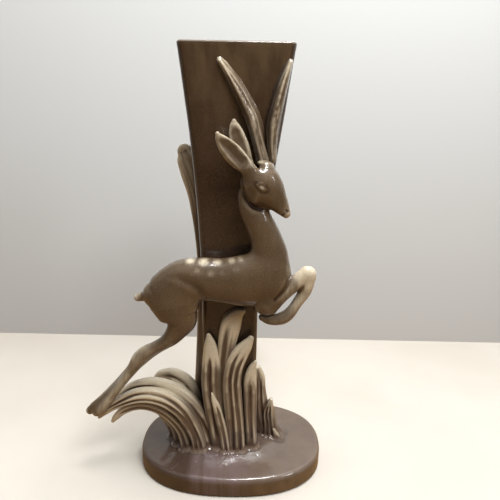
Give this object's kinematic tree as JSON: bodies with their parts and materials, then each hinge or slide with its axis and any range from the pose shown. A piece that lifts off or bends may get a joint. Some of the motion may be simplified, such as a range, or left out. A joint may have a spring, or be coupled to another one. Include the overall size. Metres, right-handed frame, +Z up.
{
  "type": "tv lamp",
  "caption": "Glazed ceramic TV lamp: a leaping gazelle in grass before a flared open column on an oval base, with an up-light socket, cord, switch and plug.",
  "frame": {"origin": "on the table plane, under the middle of the oval base (the felt's underside)", "axes": "+Z up, +X to the right seen from the gazelle's side, -Y towards the viewer"},
  "size_m": [0.2598, 0.3557, 0.455],
  "materials": {
    "glaze_column": "gloss",
    "glaze_base": "gloss",
    "glaze_animal": "gloss",
    "glaze_horn": "gloss",
    "glaze_grass": "gloss",
    "felt": "matte",
    "steel": "satin",
    "brass": "satin",
    "card": "matte",
    "phenolic": "satin",
    "frosted_glass": "frosted",
    "tungsten": "satin",
    "rubber": "matte",
    "brown_plastic": "satin",
    "paper": "matte"
  },
  "bodies": {
    "lamp": {"base_plinth": "glaze_base", "flared_column": "glaze_column", "gazelle_torso": "glaze_animal", "gazelle_head": "glaze_animal", "near_ear": "glaze_animal", "far_ear": "glaze_animal", "near_foreleg": "glaze_animal", "far_foreleg": "glaze_animal", "near_hind_leg": "glaze_animal", "far_hind_leg": "glaze_animal", "gazelle_tail": "glaze_animal", "left_horn": "glaze_horn", "right_horn": "glaze_horn", "tall_back_blade": "glaze_grass", "front_blade_tall": "glaze_grass", "front_blade_left": "glaze_grass", "front_blade_centre": "glaze_grass", "front_blade_right": "glaze_grass", "front_blade_short": "glaze_grass", "right_side_blade": "glaze_grass", "arched_blade_main": "glaze_grass", "arched_blade_middle": "glaze_grass", "arched_blade_back": "glaze_grass", "arched_blade_under": "glaze_grass", "low_blade_pale": "glaze_grass", "low_blade_thin": "glaze_grass", "felt_base_pad": "felt", "lamp_pipe": "steel", "base_washer": "steel", "base_locknut": "brass", "centring_plate": "steel", "plate_locknut": "brass", "socket_cap": "brass", "socket_set_screw": "steel", "socket_shell": "brass", "socket_liner": "card", "socket_core": "phenolic", "socket_screw_shell": "brass", "socket_centre_contact": "brass", "terminal_screw_live": "brass", "terminal_screw_neutral": "steel", "cord_bushing": "rubber", "lamp_cord": "brown_plastic", "plug_cord": "brown_plastic", "hank_tie": "paper", "switch_bottom": "brown_plastic", "switch_top": "brown_plastic", "switch_axle": "steel", "switch_contact_in": "brass", "switch_contact_out": "brass", "switch_screw": "steel", "plug_body": "brown_plastic", "plug_blade_left": "brass", "plug_blade_right": "brass"},
    "thumbwheel": {"switch_wheel": "phenolic"},
    "bulb": {"bulb_cap": "brass", "bulb_glass": "frosted_glass", "bulb_foot_contact": "steel", "bulb_stem": "frosted_glass", "bulb_filament": "tungsten"}
  },
  "joints": [
    {"name": "switch_turn", "type": "hinge", "parent": "lamp", "child": "thumbwheel", "pos_m": [0.012, 0.233, 0.0085], "axis": [0, 0, 1], "continuous": true},
    {"name": "bulb_lift", "type": "slide", "parent": "lamp", "child": "bulb", "axis": [0, 0, 1], "range_m": [0, 0.16]}
  ]
}
